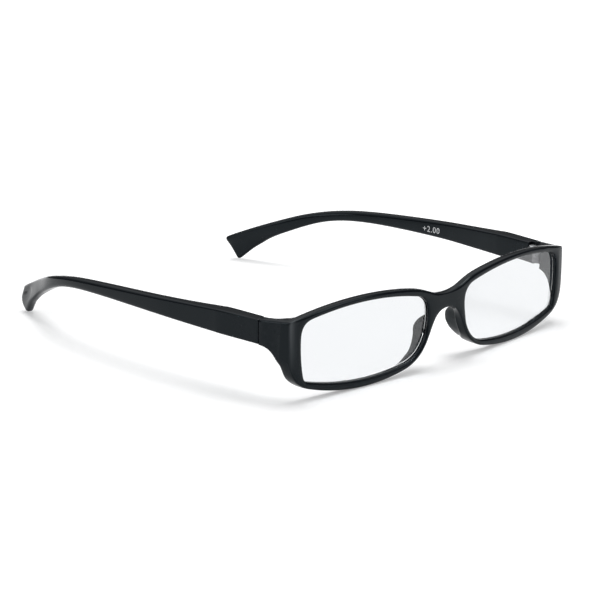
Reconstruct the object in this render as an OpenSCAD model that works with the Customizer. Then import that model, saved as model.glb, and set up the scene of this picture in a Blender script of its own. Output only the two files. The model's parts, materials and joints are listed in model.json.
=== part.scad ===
// Full-rim reading glasses with moulded nose pads and sprung hinges.
// Millimetres. The glasses stand on the rims and the temple tips, front towards -Y, Z up.
// right and left are the wearer's own sides: right is at -X.

/* [Front] */
// Width of the front between its outer corners
front_w = 137.4; // [134:0.2:142]
// Radius of the front's wrap round the face
wrap_r = 409; // [330:1:700]
// Depth of the rims from front to back
rim_d = 2.8; // [2.7:0.1:3.6]
// How much deeper the rims are at their outer lower corners
corner_d = 1.6; // [0.4:0.1:2]
// Depth of the front face's crown
crown = 0.15; // [0.05:0.05:0.3]
// Width of the rim above the lens
rim_top_w = 1.95; // [1.9:0.05:2.8]
// Width of the rim below the lens
rim_bottom_w = 2.6; // [2.3:0.05:3.2]
// Width of the rim on the temple side
rim_side_w = 4.9; // [4.6:0.1:5.6]
// Rounding of the rim's long edges
edge_r = 0.5; // [0.3:0.05:0.6]
// Width of the flat bevel down each outer corner
bevel_w = 2.2; // [1:0.1:2.6]
// Depth of that bevel
bevel_d = 0.2; // [0.1:0.05:0.8]

/* [Bridge and nose pads] */
// Distance between the lens openings at their top
bridge_w = 18.5; // [17:0.1:20]
// Height of the bridge's underside above the table
bridge_low = 18.9; // [17.9:0.1:19.8]
// Height of the bridge's top edge above the table
bridge_high = 23.9; // [22.9:0.1:24.6]
// Height at which the nose arch turns in to the bridge
arch_z = 14; // [13:0.1:14.8]
// Half width of the nose arch at that height
arch_x = 7.2; // [6.6:0.1:7.8]
// How far the nose pads reach behind the rims
pad_reach = 6.8; // [4:0.1:8]
// Thickness of the nose pads at their edge
pad_t = 1.3; // [1:0.1:1.8]

/* [Lenses] */
// Height of the lens opening's lower corners
opening_low = 5.9; // [5.4:0.1:6.9]
// Height of its upper corners
opening_high = 24.35; // [23.6:0.1:25.2]
// Bow of the opening's top edge
top_bow = 3.3; // [2.6:0.1:3.8]
// Bow of its bottom edge
bottom_bow = 3.2; // [2.6:0.1:3.6]
// Depth of the lens groove in the rim
groove_d = 0.6; // [0.4:0.05:0.8]
// Width of the lens groove
groove_w = 0.75; // [0.6:0.05:0.9]
// Distance of the groove behind the front face
groove_back = 1.25; // [1:0.05:1.5]
// Thickness of the lenses at their middle
lens_t = 1.8; // [1.7:0.1:2.2]
// Clearance round the lenses
lens_fit = 0.06; // [0.04:0.01:0.12]

/* [Endpieces] */
// Distance of the temple joint behind the middle of the front
seam_y = 17; // [16.4:0.1:18]
// Height of the endpiece's underside at the joint
lug_low = 17.45; // [17:0.05:17.8]
// Height of its top at the joint
lug_high = 25.3; // [24.9:0.05:25.7]
// Half width over the endpieces at the joint
lug_x = 71; // [70.8:0.1:72.4]
// Thickness of the endpieces at the joint
lug_t = 4.8; // [4.4:0.1:5.2]
// Gap between endpiece and temple
seam_gap = 0.1; // [0.08:0.01:0.2]

/* [Temples] */
// Length of a temple from the joint to its tip, straight back
temple_l = 128.4; // [120:0.2:136]
// Thickness of the temples behind the thick hinge end
temple_t = 4; // [3.6:0.1:4.4]
// Thickness of the hinge end where it is thickest
hinge_end_t = 5.6; // [5.4:0.1:5.9]
// Length of the thick hinge end
hinge_end_l = 19; // [18:0.5:24]
// How far the temples bow out past the joint
temple_bow = 1.6; // [0.8:0.1:2.4]
// How far the tips hook in from the joint
hook = 19.1; // [16:0.1:23]
// Height of a temple at its thinnest place, ahead of the ear
waist_h = 3.6; // [3.2:0.1:4]
// Height of the tip's top corner above the table
tip_high = 8.3; // [7:0.1:9]
// How far the tip's end slants, top corner behind bottom corner
tip_slant = 5.6; // [3:0.1:7]
// Thickness of the temples at the tips
tip_t = 3; // [2.4:0.1:3.4]

/* [Hinges] */
// Distance of the hinge axis inside the endpiece's outer face
axis_in = 4.6; // [4.4:0.1:4.7]
// Height of the middle of the hinge
hinge_z = 21.4; // [21.2:0.05:21.6]
// Radius of the hinge knuckles
knuckle_r = 1.6; // [1.4:0.05:1.65]
// Height of the middle knuckle
knuckle_h = 2; // [1.8:0.1:2.2]
// Height of each outer knuckle
ear_h = 1.75; // [1.4:0.05:1.9]
// Radius of the hinge screw
screw_r = 0.6; // [0.5:0.05:0.7]
// Running clearance of the screw and between the knuckles
run_gap = 0.05; // [0.03:0.01:0.08]
// Radius of the screw's head
head_r = 1.15; // [1:0.05:1.3]
// Height of the screw's head
head_h = 0.55; // [0.4:0.05:0.7]

/* [Spring cases] */
// Distance of the spring's axis inside the endpiece's outer face
spring_in = 2.1; // [2:0.05:2.3]
// Width of the spring case
case_w = 3.1; // [3:0.05:3.2]
// Height of the spring case
case_h = 4; // [3.8:0.1:4.2]
// Length of the spring case
case_l = 14; // [13.5:0.1:16]
// Radius of the bore that holds the spring
case_bore_r = 1.25; // [1.2:0.01:1.3]
// Length of the collar that closes the case and guides the slide bar
collar_t = 2.2; // [2:0.05:2.4]
// Width of the slide bar
bar_w = 1.4; // [1.2:0.05:1.4]
// Radius of the slide rod
rod_r = 0.55; // [0.45:0.01:0.6]
// Length of the spring when the temple is closed up to the endpiece
spring_l = 9; // [8.5:0.1:9.2]
// Radius of the spring's wire
wire_r = 0.2; // [0.14:0.01:0.22]
// Turns of the spring
spring_turns = 12; // [8:1:14]

/* [Hidden] */

// Faces of a whole turn, on small metal parts and on the lenses' round blanks
small_fn = 48;
blank_fn = 96;

// Plain functions on numbers and points
function unit(v) = v / norm(v);
function mix(a, b, t) = a + (b - a) * t;
function clamp(v, low, high) = min(max(v, low), high);
function bend2(a, b, c, t) = mix(mix(a, b, t), mix(b, c, t), t);
function bend3(a, b, c, d, t) = mix(bend2(a, b, c, t), bend2(b, c, d, t), t);
function steps(a, b, n) = [for (k = [0 : n - 1]) mix(a, b, k / n)];

// A line from a to b, bowed to the left of its direction
function bowed(a, b, bow, t) =
    mix(a, b, t) + 4 * t * (1 - t) * bow * unit([a[1] - b[1], b[0] - a[0]]);

// Side k of a four-cornered outline, trimmed where its corners are rounded
function side(c, bow, cut, k, f) =
    let(a = c[k], b = c[(k + 1) % 4], span = norm(b - a))
    bowed(a, b, bow[k], mix(cut[k] / span, 1 - cut[(k + 1) % 4] / span, f));

// A point on the rounded outline: q runs 0 to 8 over four sides, each followed by its corner
function ring(c, bow, cut, q) =
    let(w = (q + 8) % 8, piece = floor(w), k = floor(piece / 2), f = w - piece, n = (k + 1) % 4)
    piece % 2 == 0 ? side(c, bow, cut, k, f)
                   : bend2(side(c, bow, cut, k, 1), c[n], side(c, bow, cut, n, 0), f);

// Lens opening seen from the front, corners from the nose side's top, over to the temple
half_w = front_w / 2;
corner_rise = 0.5;
nose_lean = 3.35;
temple_lean = 0.9;
opening_c = [[bridge_w / 2, opening_high - corner_rise],
             [half_w - rim_side_w, opening_high + corner_rise],
             [half_w - rim_side_w - temple_lean, opening_low + corner_rise],
             [bridge_w / 2 + nose_lean, opening_low - corner_rise]];
opening_bow = [top_bow, 0.9, bottom_bow, 1.5];
opening_cut = [4.7, 3.4, 1.6, 6.6];
function opening_at(q) = ring(opening_c, opening_bow, opening_cut, q);
nudge = 0.01;
function opening_normal(q) =
    let(d = opening_at(q + nudge) - opening_at(q - nudge)) unit([-d[1], d[0]]);

// Outer outline of one half of the front, tied to the opening's corners
outline_c = [opening_c[0] + [-5.6, 1.4],
             [half_w, opening_c[1][1] + 1.1],
             [half_w - 0.8, opening_c[2][1] - 0.55],
             opening_c[3] + [-0.3, -1.55]];
top_mid_z = opening_high + top_bow + rim_top_w;
bottom_mid_z = opening_low - bottom_bow - rim_bottom_w;
outline_bow = [top_mid_z - (outline_c[0][1] + outline_c[1][1]) / 2, 0.25,
               (outline_c[2][1] + outline_c[3][1]) / 2 - bottom_mid_z, 0];
outline_cut = [11.4, 0.8, 6.7, 7];
// The top edge runs down to the bridge from here
dip_q = 0.2;
dip_end = side(outline_c, outline_bow, outline_cut, 0, 0);
dip_dir = unit(side(outline_c, outline_bow, outline_cut, 0, nudge) - dip_end);
arch_start = [arch_x, arch_z];
arch_dir = unit(arch_start - outline_c[3]);
function bridge_dip(f) =
    bend3([0, bridge_high], [7, bridge_high], dip_end - 6 * dip_dir, dip_end, f);
function arch_turn(f) =
    bend3(arch_start, arch_start + 4 * arch_dir, [3.4, bridge_low], [0, bridge_low], f);
function outline_at(q) =
    q < dip_q ? bridge_dip(q / dip_q)
    : q < 1 ? side(outline_c, outline_bow, outline_cut, 0, (q - dip_q) / (1 - dip_q))
    : q < 5 ? ring(outline_c, outline_bow, outline_cut, q)
    : q < 6 ? bend2(side(outline_c, outline_bow, outline_cut, 2, 1), outline_c[3],
                    outline_c[3] + outline_cut[3] * arch_dir, q - 5)
    : q < 6.5 ? mix(outline_c[3] + outline_cut[3] * arch_dir, arch_start, (q - 6) * 2)
    : q < 7 ? arch_turn((q - 6.5) * 2)
    : [0, mix(bridge_low, bridge_high, q - 7)];
// Which way is out of the frame; between 7 and 8 the outline is only the middle of the bridge
function outline_normal(q) =
    q == 0 || q == 8 ? [0, 1]
    : q == 7 ? [0, -1]
    : q > 7 ? [0, 0]
    : let(d = outline_at(q + nudge) - outline_at(q - nudge)) unit([-d[1], d[0]]);
// The opening's q beside each q of the outline
match_q = [[0, -0.45], [dip_q, 0.06], [1, 1], [6, 6], [6.5, 6.35], [6.75, 6.75], [7, 7.2], [8, 7.55]];

// The front is wrapped on a ball, and depth is measured behind its face
mid_z = (opening_low + opening_high) / 2;
function face_y(p, depth) =
    wrap_r - sqrt(pow(wrap_r - depth, 2) - p[0] * p[0] - pow(p[1] - mid_z, 2));

// Endpiece: its underside curves down from the joint to the rim
lug_end_y = seam_y - seam_gap / 2;
lug_foot_z = 10.9;
lug_splay = (lug_x - half_w) / (lug_end_y - face_y([half_w, mid_z], 0));
lug_sag = (outline_c[1][1] - lug_high) / (lug_end_y - face_y([half_w, mid_z], 0));
lug_bend_z = lug_low - 0.45;
lug_bend_y = 1.7;
function lug_turn(z) =
    let(a = lug_low - 2 * lug_bend_z + lug_foot_z, b = 2 * (lug_bend_z - lug_low), c = lug_low - z)
    (-b - sqrt(b * b - 4 * a * c)) / (2 * a);
function lug_y(z, back) =
    z >= lug_low - nudge ? lug_end_y
    : z <= lug_foot_z ? back
    : bend2(lug_end_y, back + lug_bend_y, back, lug_turn(z));

// Nose pad: a teardrop fin behind the rim's nose side
pad_low_z = 5.8;
pad_high_z = 18;
pad_splay = 0.15;
function pad_y(z, back) =
    z <= pad_low_z || z >= pad_high_z ? back
    : let(u = (z - pad_low_z) / (pad_high_z - pad_low_z))
      back + pad_reach * pow(sin(180 * pow(u, 1.36)), 0.75);

// Rows of the front's skin, closer together where it turns
side_top_z = outline_at(2)[1];
side_foot_z = outline_at(3)[1];
function side_q(z) = 2 + (side_top_z - z) / (side_top_z - side_foot_z);
lug_rows = [for (t = [0 : 0.14 : 0.7]) side_q(bend2(lug_low, lug_bend_z, lug_foot_z, t))];
// The endpiece reaches in to here at its root, and from this q on it is part of the top edge
lug_in_x = half_w - 2.7;
lug_q = 1 - (outline_at(1)[0] - lug_in_x - 0.3) / 70;
rows = concat(steps(0, dip_q, 5), steps(dip_q, lug_q - 0.03, 11), [lug_q - 0.03, lug_q],
              steps(1, 2, 3), steps(2, lug_rows[0], 4), lug_rows, steps(3, 4, 6), steps(4, 5, 10),
              steps(5, 6, 6), steps(6, 6.5, 3), steps(6.5, 7, 6), steps(7, 8, 4));

// One row of the front's skin: lens groove, back, endpiece or pad, outer edge and face
function row_points(q) =
    let(iq = lookup(q, match_q),
        i = opening_at(iq),
        i_out = opening_normal(iq),
        o = outline_at(q),
        o_out = outline_normal(q),
        o_y = face_y(o, 0),
        lug = q >= lug_q && q < 4 ? clamp((o[1] - lug_foot_z) / 2, 0, 1) : 0,
        arch = lookup(q, [[4.8, 0], [5.6, 1], [6.6, 1], [7, 0.2], [7.01, 0]]),
        bevel = lookup(q, [[lug_q, 0], [1, 1], [2.2, 1], [3, 0.55], [3.5, 0]]),
        r = mix(edge_r, 0.4, arch),
        lip_r = mix(edge_r, 0.3, arch),
        back_r = mix(r, 0.02, lug),
        draft = 0.1 * arch,
        out_d = rim_d + corner_d * lookup(q, [[lug_q, 0], [2, 0.3], [3, 1], [3.5, 1], [4.3, 0]]),
        sag = lug == 0 ? 0 : lug_sag * clamp((o[1] - lug_low) / (side_top_z - lug_low), 0, 1),
        inner = function (e, depth) let(p = i + e * i_out) [p[0], face_y(p, depth), p[1]],
        lean = function (p, y) [p[0] + lug * lug_splay * (y - o_y), y, p[1] - sag * (y - o_y)],
        outer = function (d, depth)
            let(p = o - (d + draft * depth) * o_out) lean(p, face_y(p, depth)),
        lip = inner(lip_r, 0),
        inner_back = inner(lip_r, rim_d),
        bevel_top = outline_at(1)[1] - r,
        edge_at = q < 1 || q > 2 ? o - mix(r, bevel_w, bevel) * o_out
                  : [outline_at(2)[0] - bevel_w, mix(bevel_top, side_top_z, q - 1)],
        face_edge = [edge_at[0], face_y(edge_at, 0), edge_at[1]],
        outer_back = outer(back_r, out_d),
        span = [inner_back[0] - outer_back[0], inner_back[2] - outer_back[2]],
        run = mix(span, [lug_in_x - outer_back[0], 0], lug),
        back_at = function (f) [outer_back[0], outer_back[2]] + f * run,
        root = back_at(mix(0.1, 0.02, lug)),
        pad = q > 5.2 && q < 6.95 ? pad_y(root[1], 0) / pad_reach : 0,
        tip_y = lug > 0 ? lug_y(o[1], outer_back[1]) : outer_back[1] + pad * pad_reach,
        reach = tip_y - outer_back[1],
        lug_in = half_w + lug_splay * reach - mix(2.6, lug_t, clamp(reach / 6, 0, 1)),
        lug_tip = root + reach * [lug_splay, -sag],
        pad_tip = root + reach * [pad * pad_splay, 0],
        wide = function (f)
            mix(mix(back_at(0.2 + 0.4 * f), pad_tip + f * pad_t * unit(span), clamp(pad * 4, 0, 1)),
                mix(lug_tip, [lug_in, lug_tip[1]], f), lug),
        root_in = back_at(mix(0.8, 1, lug)),
        flat = function (p, f) [p[0], face_y(p, mix(out_d, rim_d, f)), p[1]],
        tip = function (f, rise)
            let(p = wide(f)) reach > 0 ? [p[0], tip_y - pad * rise, p[1]] : flat(p, 0.2 + 0.4 * f))
    [lip, inner(0.3 * lip_r, 0.3 * lip_r), inner(0, lip_r),
     inner(0, groove_back), inner(groove_d, groove_back),
     inner(groove_d, groove_back + groove_w), inner(0, groove_back + groove_w),
     inner(0, rim_d - lip_r), inner(0.3 * lip_r, rim_d - 0.3 * lip_r), inner_back,
     flat(mix([inner_back[0], inner_back[2]], root_in, 0.5), 0.9),
     flat(root_in, 0.8), tip(1, 0.35), tip(0.5, 0), tip(0, 0.35), flat(root, 0.1),
     outer_back, outer(0.3 * back_r, out_d - 0.3 * r), outer(0, out_d - r),
     outer(0, mix(r, bevel_d + 0.15, bevel)),
     outer(mix(0.3 * r, 0.1 * bevel_w, bevel), mix(0.3 * r, bevel_d, bevel)),
     face_edge,
     (lip + face_edge) / 2 + [0, -crown, 0]];

// The front's skin, and its twin on the other side, as one closed surface
skin = [for (q = rows) row_points(q)];
low_z = min([for (row = skin) for (p = row) p[2]]);
front_y = min([for (row = skin) for (p = row) p[1]]);
module front_skin() {
    n = len(rows);
    m = len(skin[0]);
    half = [for (row = skin) each row];
    // The twin shares the points in the middle of the bridge
    function twin(k) = half[k][0] == 0 ? k : k + n * m;
    cells = [for (i = [0 : n - 1], j = [0 : m - 1])
             let(i2 = (i + 1) % n, j2 = (j + 1) % m,
                 a = i * m + j, b = i2 * m + j, c = i2 * m + j2, d = i * m + j2)
             each [[a, b, c], [a, c, d]]];
    faces = [for (f = cells) if (max([for (k = f) half[k][0]]) > 0) f];
    polyhedron(concat(half, [for (p = half) [-p[0], p[1], p[2]]]),
               concat(faces, [for (f = faces) [twin(f[2]), twin(f[1]), twin(f[0])]]));
}

// A skin over closed rings of equally many points, shut at both ends
module loft(rings) {
    n = len(rings);
    m = len(rings[0]);
    polyhedron([for (ring = rings) each ring],
               concat([for (i = [0 : n - 2], j = [0 : m - 1])
                       let(j2 = (j + 1) % m, a = i * m + j, b = (i + 1) * m + j,
                           c = (i + 1) * m + j2, d = i * m + j2)
                       each [[a, c, b], [a, d, c]]],
                      [[for (j = [0 : m - 1]) m - 1 - j]],
                      [[for (j = [0 : m - 1]) (n - 1) * m + j]]));
}

// Temple: cross-sections along its length, each from its bottom edge to its top edge
temple_y = seam_y + seam_gap / 2;
ear_z = 20.28;
ear_top = ear_z + waist_h / 2;
ear_low = ear_z - waist_h / 2;
tip_bottom = 1 - tip_slant / temple_l;
thick_f = hinge_end_l / temple_l;
function temple_row(f_top, f_low, z_top, z_low, bow, hooked, t) =
    [temple_y + temple_l * f_top, temple_y + temple_l * f_low, z_top, z_low,
     lug_x + temple_bow * bow - hook * hooked, t];
// The first row lies ahead of the joint, and the temple is cut square there
butt_spare = 1;
temple_rows = [
    temple_row(-butt_spare / temple_l, -butt_spare / temple_l, lug_high, lug_low, 0, 0, lug_t - 0.1),
    temple_row(thick_f * 0.75, thick_f * 0.75, lug_high + 0.45, lug_low + 0.6, 0.86, 0, hinge_end_t),
    temple_row(thick_f, thick_f, lug_high + 0.35, lug_low + 0.75, 0.9, 0, hinge_end_t - 0.3),
    temple_row(thick_f + 0.08, thick_f + 0.08, lug_high, lug_low + 1.05, 0.95, 0, temple_t + 0.4),
    temple_row(0.35, 0.35, 24.8, 19.05, 1, 0, temple_t),
    temple_row(0.545, 0.545, 23.65, 19.4, 0, 0, temple_t),
    temple_row(0.678, 0.678, ear_top, ear_low, 0, 0.13, temple_t),
    temple_row(0.79, 0.775, mix(tip_high, ear_top, 0.783), ear_low * 0.832, 0, 0.335, temple_t),
    temple_row(0.88, 0.857, mix(tip_high, ear_top, 0.485), ear_low * 0.538, 0, 0.654, temple_t - 0.2),
    temple_row(0.946, 0.911, mix(tip_high, ear_top, 0.228), ear_low * 0.246, 0, 0.864, tip_t + 0.2),
    temple_row(1, tip_bottom, tip_high, 0, 0, 1, tip_t)];
last_row = len(temple_rows) - 1;
// A smooth curve through the rows
function temple_at(t) =
    let(k = clamp(floor(t), 0, last_row - 1), f = t - k,
        b = temple_rows[k], c = temple_rows[k + 1],
        a = k > 0 ? temple_rows[k - 1] : 2 * b - c,
        d = k < last_row - 1 ? temple_rows[k + 2] : 2 * c - b)
    b + f / 2 * (c - a + f * (2 * a - 5 * b + 4 * c - d + f * (3 * (b - c) + d - a)));
// The section there, with round corners, drawn in by inset all round
function temple_ring(t, inset) =
    let(row = temple_at(t),
        along = temple_at(t + nudge) - temple_at(t - nudge),
        slope = t == 0 ? 0 : along[4] / along[0],
        inward = unit([-1, slope]),
        rise = [row[0] - row[1], row[2] - row[3]],
        h = norm(rise),
        up = rise / h,
        r = lookup(t, [[0, 0.5], [3, 0.8], [5, 1.3], [8, 1.2], [last_row, 1]]),
        corners = [[r, r, 270], [r, h - r, 180], [row[5] - r, h - r, 90], [row[5] - r, r, 0]],
        keep = r - inset)
    [for (c = corners, turn = [0 : 30 : 90])
     let(u = c[0] + keep * cos(c[2] - turn), v = c[1] + keep * sin(c[2] - turn))
     [row[4] + u * inward[0] + slope * (v - h / 2) * up[0],
      row[1] + v * up[0] + u * inward[1],
      row[3] + low_z + v * up[1]]];
temple_rings = concat([for (t = [0 : 1 / 3 : last_row - 0.5]) temple_ring(t, 0)],
                      [temple_ring(last_row - 0.1, 0), temple_ring(last_row - 0.035, 0.2),
                       temple_ring(last_row, 0.6)]);
tip_y = max([for (ring = temple_rings) for (p = ring) p[1]]);

// The glasses stand over the origin
mid_y = (front_y + tip_y) / 2;
module stand() translate([0, -mid_y, -low_z]) children();
// The left side is at +X, and the right side is its mirror image
module on_left() stand() children();
module on_right() stand() mirror([1, 0, 0]) children();

// Hinge, drawn at the left temple joint
hinge_x = lug_x - axis_in;
notch_r = knuckle_r + 0.3;
knuckle_z = hinge_z - knuckle_h / 2;
ear_low_z = knuckle_z - run_gap - ear_h;
ear_high_z = knuckle_z + knuckle_h + run_gap;
hinge_top = ear_high_z + ear_h;
anchor_l = 4.4;
anchor_h = 3.4;
anchor_base_t = 1;
module box(low, high) translate(low) cube(high - low);
// The room that the knuckles turn in, open at the top, bottom and inside
module hinge_notch()
    box([hinge_x - 4, seam_y - notch_r, lug_low - 2],
        [hinge_x + notch_r, seam_y + notch_r, lug_high + 3]);
module hinge_anchor() {
    base_y = seam_y - notch_r;
    box([hinge_x, base_y - anchor_base_t, ear_low_z],
        [hinge_x + knuckle_r, base_y + nudge, hinge_top]);
    box([hinge_x, base_y - anchor_base_t - anchor_l, hinge_z - anchor_h / 2],
        [hinge_x + knuckle_r, base_y - anchor_base_t + nudge, hinge_z + anchor_h / 2]);
}
module front_frame() color([0.07, 0.075, 0.085]) stand()
    difference() {
        front_skin();
        for (turn = [0, 1]) mirror([turn, 0, 0]) {
            hinge_notch();
            hinge_anchor();
        }
    }

// Lens, cut from a round blank with a ball-shaped front; its tongue sits in the rim's groove
lens_ball_r = wrap_r - groove_back - lens_fit;
lens_x = (opening_c[0][0] + opening_c[1][0]) / 2;
tongue_t = groove_w - 2 * lens_fit;
blank_r = 36;
blank_step = 2;
module lens_shape(grow) translate([0, rim_d * 4, 0]) rotate([90, 0, 0]) linear_extrude(rim_d * 6)
    polygon([for (q = rows) let(iq = lookup(q, match_q)) opening_at(iq) + grow * opening_normal(iq)]);
module lens_blank() translate([0, wrap_r, mid_z])
    rotate([90, 0, asin(lens_x / lens_ball_r)]) rotate_extrude($fn = blank_fn) children();
// Half a section of the blank's ball-shaped front, with the first step flat
function lens_arc(r) =
    [for (x = [0 : blank_step : blank_r]) [x, sqrt(r * r - pow(max(x, blank_step), 2))]];
function reversed(list) = [for (k = [len(list) - 1 : -1 : 0]) list[k]];
module lens() color([0.86, 0.92, 0.97, 0.35]) {
    face = lens_arc(lens_ball_r);
    flat_z = lens_ball_r - lens_t;
    intersection() {
        lens_shape(-lens_fit);
        lens_blank() polygon(concat(face, [[blank_r, flat_z], [0, flat_z]]));
    }
    intersection() {
        lens_shape(groove_d - lens_fit);
        lens_blank() polygon(concat(face, reversed(lens_arc(lens_ball_r - tongue_t))));
    }
}

// Temple, with the hinge's notch and the pocket of its spring case
case_x = lug_x - spring_in;
case_y = seam_y + notch_r + nudge;
module temple() color([0.075, 0.08, 0.09])
    difference() {
        loft(temple_rings);
        box([0, temple_y - 2 * butt_spare, 0], [lug_x * 2, temple_y, lug_high * 2]);
        hinge_notch();
        box([case_x - case_w / 2, temple_y - butt_spare, hinge_z - case_h / 2],
            [case_x + case_w / 2, case_y + case_l, hinge_z + case_h / 2]);
    }

// Front half of the hinge: two ears on an anchor let into the endpiece
module front_hinge() color([0.5, 0.51, 0.53]) {
    hinge_anchor();
    for (z = [ear_low_z, ear_high_z]) translate([hinge_x, seam_y, z]) linear_extrude(ear_h)
        difference() {
            union() {
                circle(knuckle_r, $fn = small_fn);
                translate([0, -notch_r]) square([knuckle_r, notch_r]);
            }
            circle(screw_r + run_gap, $fn = small_fn);
        }
}

// Hinge screw with a slotted head
slot_w = 0.35;
slot_d = 0.3;
module hinge_screw() color([0.62, 0.63, 0.65]) translate([hinge_x, seam_y, 0])
    difference() {
        union() {
            translate([0, 0, ear_low_z])
                cylinder(hinge_top - ear_low_z + nudge, r = screw_r, $fn = small_fn);
            translate([0, 0, hinge_top + nudge]) cylinder(head_h, r = head_r, $fn = small_fn);
        }
        translate([0, 0, hinge_top + nudge + head_h])
            cube([head_r * 3, slot_w, slot_d * 2], center = true);
    }

// Temple half of the hinge: knuckle, crank, slide bar and rod
spring_y = case_y + collar_t;
nut_t = 1;
crank_y = seam_y + 0.8;
rod_end = spring_y + spring_l + nut_t + 0.2;
module hinge_slider() color([0.52, 0.53, 0.55]) {
    translate([0, 0, knuckle_z]) linear_extrude(knuckle_h) difference() {
        union() {
            translate([hinge_x, seam_y]) circle(knuckle_r - run_gap, $fn = small_fn);
            polygon([[hinge_x, seam_y], [case_x + bar_w / 2, crank_y],
                     [case_x + bar_w / 2, spring_y], [case_x - bar_w / 2, spring_y],
                     [case_x - bar_w / 2, case_y - run_gap],
                     [hinge_x, seam_y + knuckle_r - run_gap]]);
        }
        translate([hinge_x, seam_y]) circle(screw_r + run_gap, $fn = small_fn);
    }
    translate([case_x, spring_y - nudge, hinge_z]) rotate([-90, 0, 0])
        cylinder(rod_end - spring_y + nudge, r = rod_r, $fn = small_fn);
}

// Spring case, set in the temple; the collar shuts its mouth round the slide bar
collar_w = case_w - 0.6;
collar_h = case_h - 0.6;
module case_mouth()
    box([case_x - collar_w / 2, case_y, hinge_z - collar_h / 2],
        [case_x + collar_w / 2, spring_y, hinge_z + collar_h / 2]);
module spring_case() color([0.46, 0.47, 0.5])
    difference() {
        box([case_x - case_w / 2, case_y, hinge_z - case_h / 2],
            [case_x + case_w / 2, case_y + case_l, hinge_z + case_h / 2]);
        case_mouth();
        translate([case_x, case_y, hinge_z]) rotate([-90, 0, 0])
            cylinder(case_l - 0.8, r = case_bore_r, $fn = small_fn);
    }
module spring_collar() color([0.7, 0.6, 0.36])
    difference() {
        case_mouth();
        box([case_x - bar_w / 2 - run_gap, case_y - 1, hinge_z - knuckle_h / 2 - run_gap],
            [case_x + bar_w / 2 + run_gap, case_y + collar_t + 1, hinge_z + knuckle_h / 2 + run_gap]);
    }

// Spring round the rod, between the collar and the rod's nut
coil_r = (rod_r + case_bore_r) / 2;
module flex_spring() color([0.72, 0.73, 0.75]) {
    turns = [0 : 1 / 8 : spring_turns];
    ends = wire_r + 0.02;
    loft([for (t = turns)
          let(turn = 360 * t, y = spring_y + mix(ends, spring_l - ends, t / spring_turns))
          [for (side = [0 : 60 : 300])
           let(r = coil_r + wire_r * cos(side))
           [case_x + r * cos(turn), y + wire_r * sin(side), hinge_z + r * sin(turn)]]]);
}
module rod_nut() color([0.62, 0.63, 0.65]) translate([case_x, spring_y + spring_l, hinge_z])
    rotate([-90, 0, 0]) difference() {
        cylinder(nut_t, r = case_bore_r - 0.1, $fn = small_fn);
        translate([0, 0, -1]) cylinder(nut_t + 2, r = rod_r, $fn = small_fn);
    }

front_frame();
on_right() lens();  // right_lens
on_left() lens();  // left_lens
on_right() temple();  // right_temple
on_left() temple();  // left_temple
on_right() front_hinge();  // right_front_hinge
on_left() front_hinge();  // left_front_hinge
on_right() hinge_screw();  // right_hinge_screw
on_left() hinge_screw();  // left_hinge_screw
on_right() hinge_slider();  // right_hinge_slider
on_left() hinge_slider();  // left_hinge_slider
on_right() spring_case();  // right_spring_case
on_left() spring_case();  // left_spring_case
on_right() spring_collar();  // right_spring_collar
on_left() spring_collar();  // left_spring_collar
on_right() flex_spring();  // right_flex_spring
on_left() flex_spring();  // left_flex_spring
on_right() rod_nut();  // right_rod_nut
on_left() rod_nut();  // left_rod_nut
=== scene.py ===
import json
import math
import bmesh
import bpy
from mathutils import Matrix, Vector
from mathutils.bvhtree import BVHTree

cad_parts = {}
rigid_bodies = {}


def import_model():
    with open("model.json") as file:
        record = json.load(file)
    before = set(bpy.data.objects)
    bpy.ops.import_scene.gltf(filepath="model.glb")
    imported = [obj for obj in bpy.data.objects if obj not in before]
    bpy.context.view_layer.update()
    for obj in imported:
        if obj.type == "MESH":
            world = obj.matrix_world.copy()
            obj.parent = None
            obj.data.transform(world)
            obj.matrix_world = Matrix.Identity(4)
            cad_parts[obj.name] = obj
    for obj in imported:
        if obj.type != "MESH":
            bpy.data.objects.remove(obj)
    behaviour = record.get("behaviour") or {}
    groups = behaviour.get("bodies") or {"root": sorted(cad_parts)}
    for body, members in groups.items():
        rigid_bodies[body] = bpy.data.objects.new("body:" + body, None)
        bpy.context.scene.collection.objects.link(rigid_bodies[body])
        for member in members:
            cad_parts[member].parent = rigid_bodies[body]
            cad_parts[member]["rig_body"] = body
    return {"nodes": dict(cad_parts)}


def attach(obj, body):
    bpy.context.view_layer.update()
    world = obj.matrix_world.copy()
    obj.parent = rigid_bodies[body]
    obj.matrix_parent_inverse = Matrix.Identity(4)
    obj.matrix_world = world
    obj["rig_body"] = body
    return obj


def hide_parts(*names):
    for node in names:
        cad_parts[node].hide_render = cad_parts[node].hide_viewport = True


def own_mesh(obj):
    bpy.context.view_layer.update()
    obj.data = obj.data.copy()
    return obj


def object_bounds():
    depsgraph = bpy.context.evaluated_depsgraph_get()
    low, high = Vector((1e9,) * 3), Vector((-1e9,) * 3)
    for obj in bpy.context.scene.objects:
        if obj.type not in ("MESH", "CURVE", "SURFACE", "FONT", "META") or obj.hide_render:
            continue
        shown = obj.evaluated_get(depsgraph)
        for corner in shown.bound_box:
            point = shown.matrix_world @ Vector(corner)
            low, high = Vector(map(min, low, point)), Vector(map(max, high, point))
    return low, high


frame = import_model()
cadLow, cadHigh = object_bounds()
scene = bpy.context.scene
scene.view_settings.view_transform = "Standard"
sides = ("left", "right")
mm = 0.001


def newObject(name, data):
    obj = bpy.data.objects.new(name, data)
    scene.collection.objects.link(obj)
    return obj


# Camera: where the photo was taken from, in metres and degrees
photoCamera = {
    "place": (-0.67272, -0.61169, 0.25339),
    "look": (0.71882, 0.64432, -0.26106),
    "roll": 0.83,
    "focalLength": 167.2,
    "sensor": 36.0,
    "nearest": 0.05,
    "farthest": 20,
}


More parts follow.
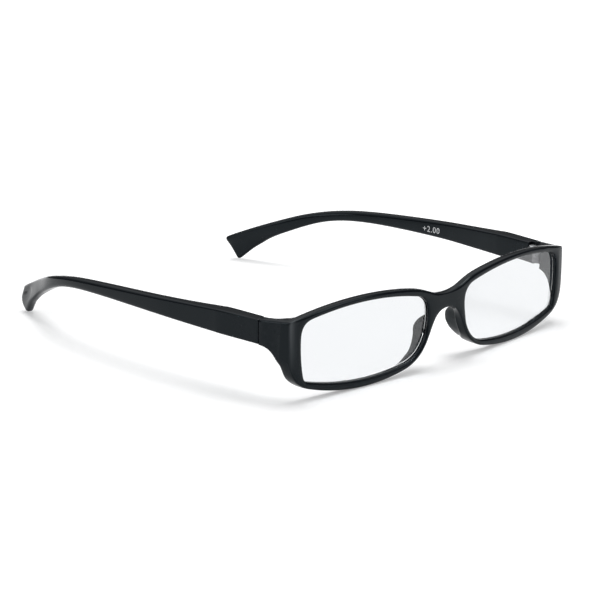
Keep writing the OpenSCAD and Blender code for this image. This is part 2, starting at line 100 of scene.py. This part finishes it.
def placeCamera(c):
    data = bpy.data.cameras.new("photoCamera")
    data.lens = c["focalLength"]
    data.sensor_width = c["sensor"]
    data.clip_start = c["nearest"]
    data.clip_end = c["farthest"]
    cam = newObject("photoCamera", data)
    look = Vector(c["look"]).normalized()
    turn = look.to_track_quat("-Z", "Y").to_matrix() @ Matrix.Rotation(math.radians(c["roll"]), 3, "Z")
    cam.matrix_world = Matrix.Translation(c["place"]) @ turn.to_4x4()
    scene.camera = cam


placeCamera(photoCamera)
print("camera placed")


# Small tools for node trees

def makeMaterial(name):
    mat = bpy.data.materials.new(name)
    mat.use_nodes = True
    tree = mat.node_tree
    return mat, tree, tree.nodes["Principled BSDF"]


def add(tree, kind, values=None, **settings):
    node = tree.nodes.new("ShaderNode" + kind)
    for key, value in settings.items():
        setattr(node, key, value)
    for key, value in (values or {}).items():
        node.inputs[key].default_value = value
    return node


def link(tree, a, outName, b, inName):
    tree.links.new(a.outputs[outName], b.inputs[inName])


# A sum, product or the like of two outputs
def combine(tree, operation, a, aName, b, bName, **settings):
    node = add(tree, "Math", operation=operation, **settings)
    link(tree, a, aName, node, 0)
    link(tree, b, bName, node, 1)
    return node


def rgba(colour):
    return (*colour, 1)


def newGroup(name, ins, outs):
    group = bpy.data.node_groups.new(name, "ShaderNodeTree")
    for title, kind, default in ins:
        socket = group.interface.new_socket(title, in_out="INPUT", socket_type="NodeSocket" + kind)
        socket.default_value = default
    for title, kind in outs:
        group.interface.new_socket(title, in_out="OUTPUT", socket_type="NodeSocket" + kind)
    return group, group.nodes.new("NodeGroupInput"), group.nodes.new("NodeGroupOutput")


def placeGroup(tree, group, values):
    node = tree.nodes.new("ShaderNodeGroup")
    node.node_tree = group
    for key, value in values.items():
        node.inputs[key].default_value = value
    return node


# Fine finish of plastic and metal: slow waves and fine grain as height, and haze as roughness

def finishGroup():
    group, entry, result = newGroup(
        "fineFinish",
        [("Wave Size", "Float", 300.0), ("Grain Size", "Float", 6000.0), ("Wave", "Float", 0.5),
         ("Grain", "Float", 0.1), ("Smooth", "Float", 0.1), ("Hazy", "Float", 0.25)],
        [("Height", "Float"), ("Roughness", "Float")])
    place = add(group, "TexCoord")
    wave = add(group, "TexNoise", {"Detail": 2.0, "Roughness": 0.4})
    grain = add(group, "TexNoise", {"Detail": 3.0, "Roughness": 0.6})
    haze = add(group, "TexNoise", {"Scale": 140.0, "Detail": 4.0, "Roughness": 0.65, "Distortion": 0.6})
    for noise in (wave, grain, haze):
        link(group, place, "Object", noise, "Vector")
    link(group, entry, "Wave Size", wave, "Scale")
    link(group, entry, "Grain Size", grain, "Scale")
    waveHeight = combine(group, "MULTIPLY", wave, "Fac", entry, "Wave")
    grainHeight = combine(group, "MULTIPLY", grain, "Fac", entry, "Grain")
    height = combine(group, "ADD", waveHeight, 0, grainHeight, 0)
    link(group, height, 0, result, "Height")
    rough = add(group, "MapRange", {"From Min": 0.38, "From Max": 0.72})
    link(group, haze, "Fac", rough, "Value")
    link(group, entry, "Smooth", rough, "To Min")
    link(group, entry, "Hazy", rough, "To Max")
    link(group, rough, "Result", result, "Roughness")
    return group


# Edge wear, from the edge mark that each piece's own mesh carries, broken up by noise

def wearGroup():
    group, entry, result = newGroup(
        "edgeWear",
        [("Amount", "Float", 0.5), ("Patch Size", "Float", 500.0)],
        [("Mask", "Float")])
    place = add(group, "TexCoord")
    patches = add(group, "TexNoise", {"Detail": 5.0, "Roughness": 0.7})
    link(group, place, "Object", patches, "Vector")
    link(group, entry, "Patch Size", patches, "Scale")
    mark = add(group, "Attribute", attribute_name="edge")
    broken = add(group, "MapRange", {"From Min": 0.42, "From Max": 0.66})
    link(group, patches, "Fac", broken, "Value")
    both = combine(group, "MULTIPLY", mark, "Fac", broken, "Result")
    scaled = combine(group, "MULTIPLY", both, 0, entry, "Amount", use_clamp=True)
    link(group, scaled, 0, result, "Mask")
    return group


fineFinish = finishGroup()
edgeWear = wearGroup()


def finishedMaterial(name, look):
    mat, tree, shader = makeMaterial(name)
    finish = placeGroup(tree, fineFinish, look["finish"])
    wear = placeGroup(tree, edgeWear, look["wear"])
    place = add(tree, "TexCoord")
    cloud = add(tree, "TexNoise", {"Scale": look["cloudSize"], "Detail": 3.0})
    link(tree, place, "Object", cloud, "Vector")
    base = add(tree, "Mix", {"A": rgba(look["colour"]), "B": rgba(look["cloudColour"])}, data_type="RGBA")
    link(tree, cloud, "Fac", base, "Factor")
    worn = add(tree, "Mix", {"B": rgba(look["wornColour"])}, data_type="RGBA")
    link(tree, base, "Result", worn, "A")
    link(tree, wear, "Mask", worn, "Factor")
    # Painted highlight: a lighter colour wherever the mesh carries the painted-highlight mark, which only
    # the front's corner bevels get
    highlightMark = add(tree, "Attribute", attribute_name="paintedHighlight")
    paintedHighlight = add(tree, "Mix", {"B": rgba(look["paintedHighlightColour"])}, data_type="RGBA")
    link(tree, worn, "Result", paintedHighlight, "A")
    link(tree, highlightMark, "Fac", paintedHighlight, "Factor")
    link(tree, paintedHighlight, "Result", shader, "Base Color")
    rough = add(tree, "Mix", {"B": look["wornRoughness"]}, data_type="FLOAT")
    link(tree, finish, "Roughness", rough, "A")
    link(tree, wear, "Mask", rough, "Factor")
    link(tree, rough, "Result", shader, "Roughness")
    bump = add(tree, "Bump", {"Strength": look["bump"], "Distance": look["bumpHeight"]})
    link(tree, finish, "Height", bump, "Height")
    link(tree, bump, "Normal", shader, "Normal")
    shader.inputs["Metallic"].default_value = look["metal"]
    shader.inputs["Specular IOR Level"].default_value = look["shine"]
    shader.inputs["Specular Tint"].default_value = rgba(look["shineTint"])
    return mat


# Gloss black moulding: the front and the temples
blackPlastic = {
    "colour": (0.003, 0.0042, 0.006),
    "cloudColour": (0.0045, 0.006, 0.008),
    "cloudSize": 60.0,
    "wornColour": (0.014, 0.015, 0.018),
    # Lighter colour painted down the front's corner bevels as a highlight
    "paintedHighlightColour": (0.075, 0.08, 0.085),
    "wornRoughness": 0.3,
    "finish": {"Wave Size": 130.0, "Grain Size": 5000.0, "Wave": 1.0, "Grain": 0.035,
               "Smooth": 0.09, "Hazy": 0.2},
    "wear": {"Amount": 0.5, "Patch Size": 420.0},
    "bump": 0.35,
    "bumpHeight": 0.00004,
    "metal": 0.0,
    "shine": 0.17,
    "shineTint": (0.8, 0.94, 1.0),
}
# Satin dark plate of the hinge halves, from which the other metals take what they don't give
platedSteel = {
    "colour": (0.09, 0.09, 0.096),
    "cloudColour": (0.11, 0.11, 0.116),
    "cloudSize": 900.0,
    "wornColour": (0.26, 0.26, 0.265),
    "paintedHighlightColour": (0.13, 0.13, 0.136),
    "wornRoughness": 0.2,
    "finish": {"Wave Size": 900.0, "Grain Size": 12000.0, "Wave": 0.4, "Grain": 0.5,
               "Smooth": 0.24, "Hazy": 0.42},
    "wear": {"Amount": 0.9, "Patch Size": 2200.0},
    "bump": 0.3,
    "bumpHeight": 0.00001,
    "metal": 1.0,
    "shine": 0.5,
    "shineTint": (1.0, 1.0, 1.0),
}
# Bright turned steel of screws and nuts
brightSteel = dict(platedSteel, colour=(0.6, 0.61, 0.63), cloudColour=(0.68, 0.69, 0.7),
                   wornColour=(0.8, 0.8, 0.8),
                   finish={"Wave Size": 1200.0, "Grain Size": 14000.0, "Wave": 0.3, "Grain": 0.3,
                           "Smooth": 0.12, "Hazy": 0.26})
# Drawn sheet of the spring cases
sheetSteel = dict(platedSteel, colour=(0.43, 0.44, 0.46), cloudColour=(0.5, 0.51, 0.53),
                  wornColour=(0.62, 0.62, 0.62),
                  finish={"Wave Size": 500.0, "Grain Size": 9000.0, "Wave": 0.5, "Grain": 0.5,
                          "Smooth": 0.28, "Hazy": 0.45})
satinBrass = dict(platedSteel, colour=(0.66, 0.5, 0.24), cloudColour=(0.72, 0.57, 0.3),
                  wornColour=(0.85, 0.72, 0.45))
springWire = dict(brightSteel, colour=(0.66, 0.67, 0.69))

plastic = finishedMaterial("blackPlastic", blackPlastic)
plate = finishedMaterial("platedSteel", platedSteel)
steel = finishedMaterial("brightSteel", brightSteel)
sheet = finishedMaterial("sheetSteel", sheetSteel)
brass = finishedMaterial("satinBrass", satinBrass)
wire = finishedMaterial("springWire", springWire)


# Clear lens: polished, with a faint cool tint and the lightest film of wiping marks
clearLens = {"tint": (0.9, 0.915, 0.93), "ior": 1.5, "wipeSize": 45.0, "filmFrom": 0.5, "filmTo": 0.8,
             "clean": 0.0, "wiped": 0.035}


def lensMaterial(look):
    mat, tree, shader = makeMaterial("clearLens")
    place = add(tree, "TexCoord")
    stretch = add(tree, "Mapping", {"Scale": (1.0, 1.0, 4.0), "Rotation": (0.0, 0.5, 0.0)})
    link(tree, place, "Object", stretch, "Vector")
    wipes = add(tree, "TexNoise", {"Scale": look["wipeSize"], "Detail": 4.0, "Roughness": 0.6})
    link(tree, stretch, "Vector", wipes, "Vector")
    film = add(tree, "MapRange", {"From Min": look["filmFrom"], "From Max": look["filmTo"],
                                  "To Min": look["clean"], "To Max": look["wiped"]})
    link(tree, wipes, "Fac", film, "Value")
    link(tree, film, "Result", shader, "Roughness")
    shader.inputs["Base Color"].default_value = rgba(look["tint"])
    shader.inputs["IOR"].default_value = look["ior"]
    shader.inputs["Transmission Weight"].default_value = 1.0
    # Light passes straight through the lens where it would cast a shadow
    path = add(tree, "LightPath")
    clear = add(tree, "BsdfTransparent", {"Color": rgba(look["tint"])})
    mix = add(tree, "MixShader")
    link(tree, path, "Is Shadow Ray", mix, "Fac")
    link(tree, shader, 0, mix, 1)
    link(tree, clear, 0, mix, 2)
    link(tree, mix, 0, tree.nodes["Material Output"], "Surface")
    return mat


glass = lensMaterial(clearLens)


# White ink of the power mark
whiteInk = {"colour": (0.78, 0.79, 0.8), "thinColour": (0.5, 0.51, 0.52), "grain": 9000.0,
            "thinFrom": 0.5, "thinTo": 0.75, "roughness": 0.45}


def inkMaterial(look):
    mat, tree, shader = makeMaterial("whiteInk")
    place = add(tree, "TexCoord")
    speckle = add(tree, "TexNoise", {"Scale": look["grain"], "Detail": 2.0})
    link(tree, place, "Object", speckle, "Vector")
    thin = add(tree, "MapRange", {"From Min": look["thinFrom"], "From Max": look["thinTo"]})
    link(tree, speckle, "Fac", thin, "Value")
    mix = add(tree, "Mix", {"A": rgba(look["colour"]), "B": rgba(look["thinColour"])}, data_type="RGBA")
    link(tree, thin, "Result", mix, "Factor")
    link(tree, mix, "Result", shader, "Base Color")
    shader.inputs["Roughness"].default_value = look["roughness"]
    return mat


ink = inkMaterial(whiteInk)
print("materials made")


# Finished pieces, each from the merged mesh of its CAD node
mergeDistance = 0.5e-6


def mergedMesh(mesh):
    bm = bmesh.new()
    bm.from_mesh(mesh)
    bmesh.ops.remove_doubles(bm, verts=bm.verts, dist=mergeDistance)
    return bm


def merged(node):
    bm = mergedMesh(frame["nodes"][node].data)
    bm.verts.layers.float.new("edge")
    # Mark for where a highlight is painted; only the front's corner bevels get it
    bm.verts.layers.float.new("paintedHighlight")
    bm.edges.layers.float.new("crease_edge")
    return bm


def sharpEdges(bm, angle):
    return [e for e in bm.edges if len(e.link_faces) == 2
            and e.calc_face_angle() > math.radians(angle)]


# Marks the edges for wear, and with reach also the vertices round them, half as much for each step
def markEdges(bm, edges, reach=0):
    marks = bm.verts.layers.float["edge"]
    for e in edges:
        for v in e.verts:
            v[marks] = 1.0
    for ring in range(reach):
        grown = {v: max(n[marks] for e in v.link_edges for n in e.verts) * 0.5 for v in bm.verts}
        for v, value in grown.items():
            v[marks] = max(v[marks], value)


def shadeSmooth(bm):
    for f in bm.faces:
        f.smooth = True


def keepCrisp(bm, angle):
    for e in bm.edges:
        e.smooth = len(e.link_faces) != 2 or e.calc_face_angle() < math.radians(angle)


def toPiece(bm, name, node, material):
    mesh = bpy.data.meshes.new(name)
    bm.to_mesh(mesh)
    bm.free()
    obj = newObject(name, mesh)
    mesh.materials.append(material)
    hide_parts(node)
    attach(obj, frame["nodes"][node]["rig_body"])
    return obj


def subdivide(obj, levels):
    mod = obj.modifiers.new("smooth", "SUBSURF")
    mod.levels = levels
    mod.render_levels = levels


def breakEdges(obj, width, angle):
    mod = obj.modifiers.new("brokenEdges", "BEVEL")
    mod.width = width
    mod.segments = 2
    mod.limit_method = "ANGLE"
    mod.angle_limit = math.radians(angle)


# The forms below are in millimetres, with y counted back from the foremost point of the front
frontY = cadLow.y / mm


# A value between pairs of place and value, and nothing outside them
def between(pairs, t):
    if t <= pairs[0][0] or t >= pairs[-1][0]:
        return 0.0
    k = max(i for i in range(len(pairs) - 1) if pairs[i][0] <= t)
    (t0, a), (t1, b) = pairs[k], pairs[k + 1]
    return a + (b - a) * (t - t0) / (t1 - t0)


# How far a value has come from low to high, from 0 to 1
def share(value, low, high):
    return min(max((value - low) / (high - low), 0.0), 1.0)


def inForm(v):
    return v.co.x / mm, v.co.y / mm - frontY, v.co.z / mm


# How the moulded front departs from its solid. Nose pads: t is the distance along them, half width
# less height, and each pair gives t and how much deeper, or further in, the pad lies there.
frontForm = {
    "wrap": 409,
    "middle": 15,
    "noseHalf": 26,
    "padDeeper": [(-12, 0), (-8, 0), (-4, -1.1), (-1, -0.3), (1.5, 1.2), (4.5, 2.7), (9, 3),
                  (13, 1.9), (16.5, 0.8), (20, 0)],
    "padInward": [(-9, 0), (-4.7, 1.3), (-2, 1.5), (1.5, 1.4), (4.5, 1.7), (8, 1.5), (13, 0.6),
                  (16.5, 0)],
    "padTop": 19,
    "padBack": 3.2,
    "padRoot": 2.3,
    "padRun": 1,
    "finEnds": (5, 7),
    "noseLean": 0.52,
    "noseWall": (14.8, 17.4),
    "noseFrom": (1, 5),
    "grooveBack": 2.1,
    "grooveRun": 0.15,
    "softHalf": 20,
    "softTop": 18.5,
    "softDepth": 0.3,
    "softness": 0.4,
    "softTurns": 2,
    "roofInner": 60,
    "roofBack": 12,
    "roofFoot": 20,
    "roofTop": 25.9,
    "roofOuter": 68.3,
    "roofFall": 0.5,
    "bevelInner": 66.2,
    "bevelOuter": 68.1,
    "bevelBack": 6.2,
    "bevelLow": 9,
    "bevelHigh": 24,
}


def shapePads(bm, form):
    for v in bm.verts:
        x, y, z = inForm(v)
        half = abs(x)
        if half > form["noseHalf"] or z > form["padTop"]:
            continue
        t = half - z
        depth = y - (half ** 2 + (z - form["middle"]) ** 2) / (2 * form["wrap"])
        pastFin = share(t, *form["finEnds"])
        onFin = share(y, form["padBack"], form["padBack"] + form["padRun"])
        onBack = share(depth, form["grooveBack"], form["grooveBack"] + form["grooveRun"])
        weight = onFin + (onBack - onFin) * pastFin
        onRoot = share(y, form["padRoot"], form["padRoot"] + form["padRun"]) * (1 - pastFin)
        noseSide = 1 - share(half + form["noseLean"] * z, *form["noseWall"]) * share(t, *form["noseFrom"])
        inward = max(weight, onRoot) * noseSide
        v.co.y += between(form["padDeeper"], t) * weight * mm
        v.co.x -= math.copysign(between(form["padInward"], t) * inward * mm, x)
    soft = [v for v in bm.verts if abs(v.co.x) < form["softHalf"] * mm and v.co.z < form["softTop"] * mm
            and v.co.y / mm - frontY > form["padBack"] + form["softDepth"]]
    for turn in range(form["softTurns"]):
        bmesh.ops.smooth_vert(bm, verts=soft, factor=form["softness"],
                              use_axis_x=True, use_axis_y=True, use_axis_z=True)


# The roofs of the endpieces fall towards the inside
def shapeEndpieces(bm, form):
    for v in bm.verts:
        x, y, z = inForm(v)
        if abs(x) > form["roofInner"] and y > form["roofBack"]:
            fall = form["roofFall"] * max(form["roofOuter"] - abs(x), 0)
            v.co.z -= fall * share(z, form["roofFoot"], form["roofTop"]) * mm


# Painted highlight: the bevels down the outer corners are coloured lighter, more so towards their tops
def paintBevelHighlight(bm, form):
    marks = bm.verts.layers.float["paintedHighlight"]
    for v in bm.verts:
        x, y, z = inForm(v)
        if y < form["bevelBack"]:
            across = share(abs(x), form["bevelInner"], form["bevelOuter"])
            v[marks] = across * share(z, form["bevelLow"], form["bevelHigh"])


# The temples' tips: the lower edge flares out and up, and the slanted end bulges between rounded corners
tipForm = {
    "topAt": 132,
    "topHeight": 13.8,
    "topFall": 0.42,
    "start": 116,
    "full": 130,
    "lowEdge": (2, 8),
    "cuts": (2.3, 4.2, 6.1),
    "cutFrom": 134.5,
    "cutFall": 0.6,
    "flareUp": 1.8,
    "flareOut": 2.1,
    "cornerFrom": 135.5,
    "cornerTo": 139.3,
    "cornerTop": 6,
    "cornerHeight": 5,
    "cornerLess": 0.7,
    "endLow": 139.3,
    "endSlant": 0.72,
    "endRun": 7,
    "bulge": 2.3,
    "bulgeRise": (-2, 3),
    "bulgeFall": (3.5, 8),
    "endMost": 144.7,
    "roundFrom": 137,
    "crease": 0.5,
}


def shapeTip(bm, form):
    for height in form["cuts"]:
        faces = [f for f in bm.faces if min(v.co.y for v in f.verts) / mm - frontY > form["cutFrom"]]
        edges = list({e for f in faces for e in f.edges})
        verts = list({v for f in faces for v in f.verts})
        middle = (0, (form["endLow"] + form["endSlant"] * height + frontY) * mm, height * mm)
        bmesh.ops.bisect_plane(bm, geom=verts + edges + faces, dist=1e-7, plane_co=middle,
                               plane_no=(0, form["cutFall"], 1))
    for v in bm.verts:
        x, y, z = inForm(v)
        below = form["topHeight"] - form["topFall"] * (y - form["topAt"]) - z
        low = share(below, *form["lowEdge"]) * share(y, form["start"], form["full"])
        nearCorner = share(form["cornerTop"] - z, 0, form["cornerHeight"])
        corner = share(y, form["cornerFrom"], form["cornerTo"]) * nearCorner
        v.co.z += form["flareUp"] * low * (1 - corner) * mm
        v.co.x += math.copysign(form["flareOut"] * low * (1 - form["cornerLess"] * corner) * mm, x)
        end = share(y - form["endLow"] - form["endSlant"] * z, -form["endRun"], 0)
        bulged = y + form["bulge"] * end * share(z, *form["bulgeRise"]) * (1 - share(z, *form["bulgeFall"]))
        v.co.y = max(y, min(bulged, form["endMost"])) * mm + cadLow.y


# A moulded skin: joined into quads, shaped, its sharp edges creased, then subdivided
moulding = {"joinAngle": 40, "joinShape": 70, "creaseAngle": 48, "crease": 1.0, "levels": 2,
            "edgeWidth": 0.14 * mm, "edgeAngle": 45}


# The two ways to shape a skin; each returns the edges that stay crisp
def shapeFront(bm):
    sharp = [e for e in sharpEdges(bm, moulding["creaseAngle"])
             if min(abs(v.co.x) for v in e.verts) > frontForm["noseHalf"] * mm]
    shapePads(bm, frontForm)
    shapeEndpieces(bm, frontForm)
    paintBevelHighlight(bm, frontForm)
    return sharp


def shapeTemple(bm):
    shapeTip(bm, tipForm)
    return sharpEdges(bm, moulding["creaseAngle"])


def mouldedPiece(node, name, look, shape):
    bm = merged(node)
    bmesh.ops.join_triangles(bm, faces=bm.faces, angle_face_threshold=math.radians(look["joinAngle"]),
                             angle_shape_threshold=math.radians(look["joinShape"]))
    sharp = shape(bm)
    creases = bm.edges.layers.float["crease_edge"]
    for e in sharp:
        atTip = max(v.co.y for v in e.verts) / mm - frontY > tipForm["roundFrom"]
        e[creases] = tipForm["crease"] if atTip else look["crease"]
    markEdges(bm, sharp, 1)
    shadeSmooth(bm)
    obj = toPiece(bm, name, node, plastic)
    subdivide(obj, look["levels"])
    breakEdges(obj, look["edgeWidth"], look["edgeAngle"])


mouldedPiece("front_frame", "frontMoulding", moulding, shapeFront)
for side in sides:
    mouldedPiece(side + "_temple", side + "TempleMoulding", moulding, shapeTemple)
print("mouldings made")


# A lens: polished faces, with its rim kept crisp
lensRim = {"crispAngle": 25}


def lensPiece(side, look):
    bm = merged(side + "_lens")
    shadeSmooth(bm)
    keepCrisp(bm, look["crispAngle"])
    toPiece(bm, side + "ClearLens", side + "_lens", glass)


for side in sides:
    lensPiece(side, lensRim)
print("lenses made")


# Machined metal: flat faces made whole, and every corner broken with a small bevel
machining = {"flatAngle": 1, "bevelAngle": 35, "crispAngle": 40}
breaks = {"hinge": 0.12 * mm, "screw": 0.08 * mm, "case": 0.15 * mm, "nut": 0.1 * mm}


def machinedPiece(node, name, material, width):
    bm = merged(node)
    bmesh.ops.dissolve_limit(bm, angle_limit=math.radians(machining["flatAngle"]),
                             verts=bm.verts, edges=bm.edges)
    made = bmesh.ops.bevel(bm, geom=sharpEdges(bm, machining["bevelAngle"]), offset=width,
                           offset_type="OFFSET", segments=2, profile=0.5, affect="EDGES",
                           material=-1, clamp_overlap=True)
    markEdges(bm, {e for f in made["faces"] for e in f.edges})
    shadeSmooth(bm)
    keepCrisp(bm, machining["crispAngle"])
    toPiece(bm, name, node, material)


for side in sides:
    machinedPiece(side + "_front_hinge", side + "FrontHinge", plate, breaks["hinge"])
    machinedPiece(side + "_hinge_slider", side + "HingeSlider", plate, breaks["hinge"])
    machinedPiece(side + "_hinge_screw", side + "HingeScrew", steel, breaks["screw"])
    machinedPiece(side + "_spring_case", side + "SpringCase", sheet, breaks["case"])
    machinedPiece(side + "_spring_collar", side + "SpringCollar", brass, breaks["nut"])
    machinedPiece(side + "_rod_nut", side + "RodNut", steel, breaks["nut"])
print("metal parts made")


# Coil springs: smoothly shaded wire, each with a mesh of its own
spring = {"keep": 0.89, "joinAngle": 60, "joinShape": 80}


def springPiece(side, look):
    node = side + "_flex_spring"
    bm = merged(node)
    bmesh.ops.join_triangles(bm, faces=bm.faces, angle_face_threshold=math.radians(look["joinAngle"]),
                             angle_shape_threshold=math.radians(look["joinShape"]))
    shadeSmooth(bm)
    obj = toPiece(bm, side + "FlexSpring", node, wire)
    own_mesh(obj)


for side in sides:
    springPiece(side, spring)
print("springs made")


# Generic power mark, printed in white inside the left temple
powerMark = {"words": "+2.00", "height": 2.2 * mm, "sizePerHeight": 1.35, "spacing": 1.12, "curveSteps": 3,
             "along": -9.3 * mm, "up": 20.7 * mm, "castFrom": 0.03, "lift": 0.03 * mm, "thick": 0.02 * mm}


def wordsMesh(mark):
    curve = bpy.data.curves.new("powerMark", "FONT")
    curve.body = mark["words"]
    curve.size = mark["height"] * mark["sizePerHeight"]
    curve.extrude = mark["thick"]
    curve.resolution_u = mark["curveSteps"]
    curve.space_character = mark["spacing"]
    words = newObject("powerMark", curve)
    bpy.context.view_layer.update()
    mesh = bpy.data.meshes.new_from_object(words)
    bpy.data.objects.remove(words)
    return mesh


# Stood up, reading along the temple, and laid on its inner face
def printMark(mark):
    mesh = wordsMesh(mark)
    mesh.transform(Matrix(((0, 0, -1, 0), (-1, 0, 0, 0), (0, 1, 0, 0), (0, 0, 0, 1))))
    bm = bmesh.new()
    bm.from_mesh(mesh)
    middle = sum((v.co.y for v in bm.verts)) / len(bm.verts)
    for v in bm.verts:
        v.co.y += mark["along"] - middle
        v.co.z += mark["up"]
    wall = mergedMesh(frame["nodes"]["left_temple"].data)
    tree = BVHTree.FromBMesh(wall)
    for v in bm.verts:
        depth = v.co.x
        hit = tree.ray_cast(Vector((mark["castFrom"], v.co.y, v.co.z)), Vector((1, 0, 0)))
        v.co.x = hit[0].x - mark["lift"] + depth
    wall.free()
    bmesh.ops.remove_doubles(bm, verts=bm.verts, dist=mergeDistance)
    bmesh.ops.recalc_face_normals(bm, faces=bm.faces)
    bm.to_mesh(mesh)
    bm.free()
    obj = newObject("powerMark", mesh)
    mesh.materials.clear()
    mesh.materials.append(ink)
    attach(obj, "left_temple_body")


printMark(powerMark)
print("mark printed")


# Studio: white floor and world, one broad even light from above and behind, and two strips for the edges
studio = {
    "floorSize": 6.0,
    "floorSegments": 64,
    "floorColour": 0.82,
    "floorLift": 0.26,
    "floorThroughLens": 0.25,
    "liftThroughLens": 0.76,
    # Painted light on the floor behind the front, which hides the far temple's shadow
    "paintedLightBehind": 0.2,
    "behindY": (-0.06, -0.03),
    "behindX": (-0.04, 0.01),
    "world": (0.97, 0.985, 1.0),
    "worldLight": 0.45,
    "dimSky": 0.12,
    "dimBelow": 0.25,
    "whiteAbove": 0.75,
    "above": {"name": "aboveLight", "place": (0.17, 0.17, 1.0), "strength": 1.6, "softness": 34},
    "lamps": [
        {"name": "leftStrip", "place": (-0.9, 0.35, 0.5), "size": (0.25, 0.9), "watts": 1.6},
        {"name": "frontStrip", "place": (0.5, -0.9, 0.6), "size": (0.3, 0.8), "watts": 1.6},
    ],
}


# What the gloss mirrors: dim low down, and white from overhead
def mirroredSky(tree, look):
    place = add(tree, "TexCoord")
    split = add(tree, "SeparateXYZ")
    link(tree, place, "Generated", split, 0)
    rise = add(tree, "MapRange", {"From Min": look["dimBelow"], "From Max": look["whiteAbove"],
                                  "To Min": look["dimSky"], "To Max": 1.0},
               interpolation_type="SMOOTHSTEP")
    link(tree, split, "Z", rise, "Value")
    return rise


def whiteWorld(look):
    world = bpy.data.worlds.new("studio")
    scene.world = world
    world.use_nodes = True
    tree = world.node_tree
    background = tree.nodes["Background"]
    path = add(tree, "LightPath")
    sky = mirroredSky(tree, look)
    glossy = add(tree, "Mix", {"A": look["worldLight"]}, data_type="FLOAT")
    link(tree, sky, "Result", glossy, "B")
    link(tree, path, "Is Glossy Ray", glossy, "Factor")
    # Seen straight on or through the lenses it is plain white
    direct = combine(tree, "MAXIMUM", path, "Is Camera Ray", path, "Is Transmission Ray")
    strength = add(tree, "Mix", {"B": 1.0}, data_type="FLOAT")
    link(tree, glossy, "Result", strength, "A")
    link(tree, direct, 0, strength, "Factor")
    link(tree, strength, "Result", background, "Strength")
    colour = add(tree, "Mix", {"A": rgba(look["world"]), "B": (1, 1, 1, 1)}, data_type="RGBA")
    link(tree, direct, 0, colour, "Factor")
    link(tree, colour, "Result", background, "Color")


# The floor's colour, darker where a lens shows it
def floorTone(tree, path, look):
    lit = add(tree, "Mix", {"A": look["floorColour"], "B": look["floorThroughLens"]}, data_type="FLOAT")
    link(tree, path, "Is Transmission Ray", lit, "Factor")
    grey = add(tree, "CombineColor")
    for channel in ("Red", "Green", "Blue"):
        link(tree, lit, "Result", grey, channel)
    return grey


# A level of its own keeps the floor white to the camera, and even where a lens shows it
def floorLevel(tree, path, look):
    seen = combine(tree, "MAXIMUM", path, "Is Camera Ray", path, "Is Glossy Ray")
    # Painted light: the floor is brightened behind the front, between the temples and beyond, which washes
    # out the far temple's shadow there
    place = add(tree, "TexCoord")
    split = add(tree, "SeparateXYZ")
    link(tree, place, "Object", split, 0)
    back = add(tree, "MapRange", {"From Min": look["behindY"][0], "From Max": look["behindY"][1]})
    across = add(tree, "MapRange", {"From Min": look["behindX"][0], "From Max": look["behindX"][1]})
    link(tree, split, "Y", back, "Value")
    link(tree, split, "X", across, "Value")
    behind = combine(tree, "MULTIPLY", back, "Result", across, "Result")
    level = add(tree, "Math", {1: look["paintedLightBehind"], 2: look["floorLift"]}, operation="MULTIPLY_ADD")
    link(tree, behind, 0, level, 0)
    lift = combine(tree, "MULTIPLY", seen, 0, level, 0)
    lensLift = add(tree, "Mix", {"B": look["liftThroughLens"]}, data_type="FLOAT")
    link(tree, lift, 0, lensLift, "A")
    link(tree, path, "Is Transmission Ray", lensLift, "Factor")
    return lensLift


def whiteFloor(look):
    bm = bmesh.new()
    bmesh.ops.create_circle(bm, cap_ends=True, segments=look["floorSegments"], radius=look["floorSize"])
    mesh = bpy.data.meshes.new("studioFloor")
    bm.to_mesh(mesh)
    bm.free()
    floor = newObject("studioFloor", mesh)
    mat, tree, shader = makeMaterial("studioFloor")
    shader.inputs["Roughness"].default_value = 1.0
    shader.inputs["Specular IOR Level"].default_value = 0.0
    shader.inputs["Emission Color"].default_value = (1, 1, 1, 1)
    path = add(tree, "LightPath")
    link(tree, floorTone(tree, path, look), "Color", shader, "Base Color")
    link(tree, floorLevel(tree, path, look), "Result", shader, "Emission Strength")
    mesh.materials.append(mat)


def hang(data, place):
    lamp = newObject(data.name, data)
    lamp.location = place
    lamp.rotation_euler = (-Vector(place)).to_track_quat("-Z", "Y").to_euler()


def hangLamp(look):
    data = bpy.data.lights.new(look["name"], "AREA")
    data.shape = "RECTANGLE"
    data.size, data.size_y = look["size"]
    data.energy = look["watts"]
    hang(data, look["place"])


def hangSun(look):
    data = bpy.data.lights.new(look["name"], "SUN")
    data.energy = look["strength"]
    data.angle = math.radians(look["softness"])
    hang(data, look["place"])


whiteWorld(studio)
whiteFloor(studio)
hangSun(studio["above"])
for lamp in studio["lamps"]:
    hangLamp(lamp)
print("studio lit")
